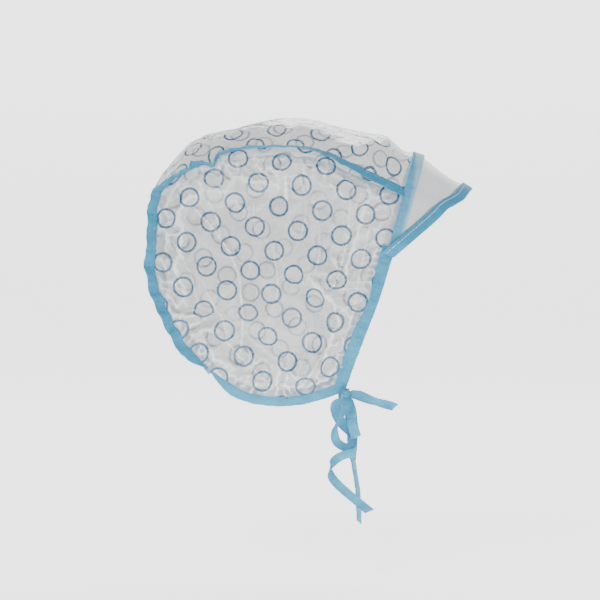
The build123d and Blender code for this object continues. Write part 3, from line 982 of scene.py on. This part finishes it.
class Shader:
    """A node material under construction."""

    def __init__(self, name):
        self.material = bpy.data.materials.new(name)
        self.material.use_nodes = True
        self.tree = self.material.node_tree
        self.main = self.tree.nodes["Principled BSDF"]

    def put(self, socket, value):
        """Gives a socket a number, a vector, a colour, or the output that feeds it."""
        if isinstance(value, bpy.types.NodeSocket):
            self.tree.links.new(value, socket)
        elif value is not None:
            is_color = socket.type == "RGBA" and len(value) == 3
            socket.default_value = (*value, 1) if is_color else value

    def node(self, kind, into, **values):
        """A new node with its properties, and what goes into its sockets."""
        made = self.tree.nodes.new("ShaderNode" + kind)
        for key, value in values.items():
            setattr(made, key, value)
        for key, value in into.items():
            self.put(made.inputs[key], value)
        return made

    def finish(self, **into):
        """What goes into the main shader: Coat_Weight, for one, is its Coat Weight."""
        for key, value in into.items():
            self.put(self.main.inputs[key.replace("_", " ")], value)
        return self.material

    def math(self, operation, a, b=None, clamp=False):
        return self.node("Math", {0: a, 1: b}, operation=operation, use_clamp=clamp).outputs[0]

    def vector(self, operation, a, b=None, out=0):
        return self.node("VectorMath", {0: a, 1: b}, operation=operation).outputs[out]

    def texture(self, kind, scale, coords, detail=2.0, out=0, **values):
        into = {"Scale": scale, "Detail": detail, "Vector": coords}
        return self.node("Tex" + kind, into, **values).outputs[out]

    def place(self):
        return self.node("TexCoord", {}).outputs["Object"]

    def part(self, vector, axis):
        return self.node("SeparateXYZ", {0: vector}).outputs[axis]

    def uv(self, name, stretch=(1, 1, 1)):
        coords = self.node("UVMap", {}, uv_map=name).outputs[0]
        return self.node("Mapping", {"Scale": stretch, "Vector": coords}).outputs[0]

    def ramp(self, value, stops):
        """Greys at shares of a value."""
        made = self.node("ValToRGB", {0: value})
        band = made.color_ramp
        while len(band.elements) < len(stops):
            band.elements.new(0.5)
        for element, (at, grey) in zip(band.elements, stops):
            element.position = at
            element.color = (grey, grey, grey, 1)
        return made.outputs[0]

    def mix(self, share, a, b):
        return self.node("Mix", {0: share, 6: a, 7: b}, data_type="RGBA").outputs[2]

    def bump(self, height, distance, strength):
        into = {"Distance": distance, "Strength": strength, "Height": height}
        return self.node("Bump", into).outputs[0]


def film_creases(s, strength=1.0):
    """The sharp little creases that a handled film keeps: their ridges and their bump."""
    place = s.place()
    push = s.texture("Noise", 28.0, place, 2.0, out=1)
    bent = s.node("Mix", {0: 0.02, 4: place, 5: push}, data_type="VECTOR").outputs[1]
    large = s.texture("Voronoi", 34.0, bent, feature="DISTANCE_TO_EDGE")
    small = s.texture("Voronoi", 85.0, bent, feature="DISTANCE_TO_EDGE")
    ridge = s.ramp(large, [(0.0, 1), (0.16, 0.25), (0.5, 0)])
    fine = s.ramp(small, [(0.0, 1), (0.2, 0.2), (0.6, 0)])
    soft = s.texture("Noise", 60.0, place, 3.0)
    height = s.math("ADD", s.math("MULTIPLY", ridge, 1.0), s.math("MULTIPLY", fine, 0.35))
    height = s.math("ADD", height, s.math("MULTIPLY", soft, 0.8))
    return ridge, s.bump(height, 0.0012, 0.55 * strength)


def printed_film_material():
    s = Shader("printed_film")
    half = (0.5, 0.5, 0)
    cell = s.vector("FRACTION", s.vector("ADD", s.uv("print"), half))
    size = s.vector("LENGTH", s.vector("SUBTRACT", cell, half), out="Value")
    reach = s.math("MULTIPLY", size, RING_PITCH)
    off = s.math("ABSOLUTE", s.math("SUBTRACT", reach, RING_RADIUS))
    ring = s.math("MULTIPLY", s.math("SUBTRACT", RING_LINE, off), 5.0, clamp=True)
    dot = s.math("MULTIPLY", s.math("SUBTRACT", 0.42, reach), 6.0, clamp=True)
    worn = s.texture("Noise", 700.0, s.place(), 2.0)
    worn = s.ramp(worn, [(0.3, 0.82), (0.6, 1)])
    ink = s.math("MULTIPLY", s.math("MAXIMUM", ring, s.math("MULTIPLY", dot, 0.75)), worn)
    ridge, normal = film_creases(s)
    haze = s.texture("Noise", 17.0, s.place(), 4.0)
    haze = s.ramp(haze, [(0.34, 0), (0.66, 1)])
    tint = s.mix(haze, (0.17, 0.18, 0.185), (0.36, 0.365, 0.36))
    bend = s.node("Attribute", {}, attribute_name="crease").outputs["Fac"]
    # Painted shade: the film is darkened in the valleys of its creases.
    tint = s.mix(s.math("MULTIPLY", bend, -0.85, clamp=True), tint, (0.10, 0.11, 0.115))
    # Painted highlight, partly the real milky whitening of creased film: crease ridges and the small
    # ridge pattern are lightened and made more opaque.
    crease_white_and_highlight = s.math("MULTIPLY", bend, 0.95, clamp=True)
    crease_white_and_highlight = s.math("MAXIMUM", crease_white_and_highlight, s.math("MULTIPLY", ridge, 0.5))
    tint = s.mix(crease_white_and_highlight, tint, (0.93, 0.94, 0.94))
    cloud = s.math("MULTIPLY", haze, 0.16)
    alpha = s.math("ADD", FILM_ALPHA, s.math("ADD", cloud, s.math("MULTIPLY", crease_white_and_highlight, 0.3)))
    alpha = s.math("MAXIMUM", alpha, s.math("MULTIPLY", ink, 0.99), clamp=True)
    return s.finish(Base_Color=s.mix(ink, tint, INK), Alpha=alpha, Roughness=0.27,
                    Specular_IOR_Level=0.55, Coat_Weight=0.25, Coat_Roughness=0.08,
                    Normal=normal, Coat_Normal=normal)


def clear_film_material():
    s = Shader("clear_film")
    ridge, normal = film_creases(s, 0.5)
    haze = s.texture("Noise", 16.0, s.place(), 3.0)
    alpha = s.math("ADD", 0.48, s.math("MULTIPLY", haze, 0.12))
    return s.finish(Base_Color=s.mix(haze, (0.27, 0.30, 0.315), (0.44, 0.47, 0.48)),
                    Alpha=s.math("ADD", alpha, s.math("MULTIPLY", ridge, 0.05)),
                    Roughness=0.3, Coat_Weight=0.4, Coat_Roughness=0.15, Normal=normal)


def cloth_material(name, dark, light, fade=False):
    """Thin nonwoven tape: matted fibres, a fine pressed dot pattern and handling creases.

    With fade, it is thin and pale along the side where it is a single layer, and paler above 84 mm
    up."""
    s = Shader(name)
    flat = s.uv("tape")
    fibre = s.texture("Noise", 900.0, s.uv("tape", (0.25, 1, 1)), 4.0)
    cross_fibre = s.texture("Noise", 1100.0, s.uv("tape", (1, 0.3, 1)), 3.0)
    matted = s.math("MULTIPLY", s.math("ADD", fibre, cross_fibre), 0.5)
    dots = s.texture("Voronoi", 1100.0, flat)
    dots = s.ramp(dots, [(0.0, 0), (0.35, 1)])
    creases = s.texture("Noise", 140.0, s.uv("tape", (1, 0.35, 1)), 3.0)
    cloud = s.texture("Noise", 55.0, s.place(), 3.0)
    share = s.math("ADD", s.math("MULTIPLY", matted, 0.55), s.math("MULTIPLY", cloud, 0.5))
    share = s.ramp(share, [(0.3, 0), (0.72, 1)])
    color = s.mix(share, dark, light)
    if fade:
        paleness = s.math("MULTIPLY", s.part(flat, 1), 1000 / SEAM_TAPE_WIDTH)
        # Paler above 84 mm up the cap, as well as along the single-layer side.
        high = s.math("SUBTRACT", s.part(s.place(), 2), 0.084)
        high = s.math("MULTIPLY", high, 40.0, clamp=True)
        paleness = s.math("ADD", paleness, s.math("MULTIPLY", high, 0.45))
        paleness = s.math("ADD", paleness, s.math("MULTIPLY", cloud, 0.2))
        paleness = s.ramp(paleness, [(0.72, 0), (1.15, 1)])
        color = s.mix(paleness, color, (0.27, 0.55, 0.70))
        s.finish(Alpha=s.math("SUBTRACT", 0.96, s.math("MULTIPLY", paleness, 0.4)))
    height = s.math("ADD", s.math("MULTIPLY", matted, 0.35), s.math("MULTIPLY", dots, 0.12))
    normal = s.bump(s.math("ADD", height, s.math("MULTIPLY", creases, 2.6)), 0.0009, 0.9)
    return s.finish(Base_Color=color, Roughness=0.62, Sheen_Weight=0.15, Sheen_Roughness=0.4,
                    Specular_IOR_Level=0.35, Normal=normal)


def thread_material(name, dark, light):
    s = Shader(name)
    twist = s.texture("Noise", 2400.0, s.place(), 2.0)
    return s.finish(Base_Color=s.mix(twist, dark, light), Roughness=0.55,
                    Normal=s.bump(twist, 0.0002, 0.5))


def paper_material():
    s = Shader("paper")
    grain = s.texture("Noise", 180.0, s.place(), 2.0)
    return s.finish(Base_Color=s.mix(grain, (0.94, 0.94, 0.94), (0.96, 0.96, 0.96)),
                    Roughness=0.9, Emission_Color=(1, 1, 1), Emission_Strength=1.9)


printed_film = printed_film_material()
clear_film = clear_film_material()
blue_tape = cloth_material("blue_tape", (0.012, 0.175, 0.33), (0.05, 0.31, 0.49))
hem_tape = cloth_material("hem_tape", (0.02, 0.21, 0.375), (0.075, 0.35, 0.54))
pale_tape = cloth_material("pale_tape", (0.045, 0.26, 0.45), (0.12, 0.40, 0.60), fade=True)
tie_ribbon = cloth_material("tie_ribbon", (0.02, 0.21, 0.38), (0.11, 0.43, 0.64))
pale_thread = thread_material("pale_thread", (0.42, 0.66, 0.82), (0.75, 0.88, 0.95))
blue_thread = thread_material("blue_thread", (0.06, 0.27, 0.48), (0.13, 0.42, 0.64))

build_camera()
build_ribbons()
build_knot()
build_film()
build_seam_bindings()
build_neck_hem()
build_face_bindings()
build_visor()
build_corners()
build_studio()
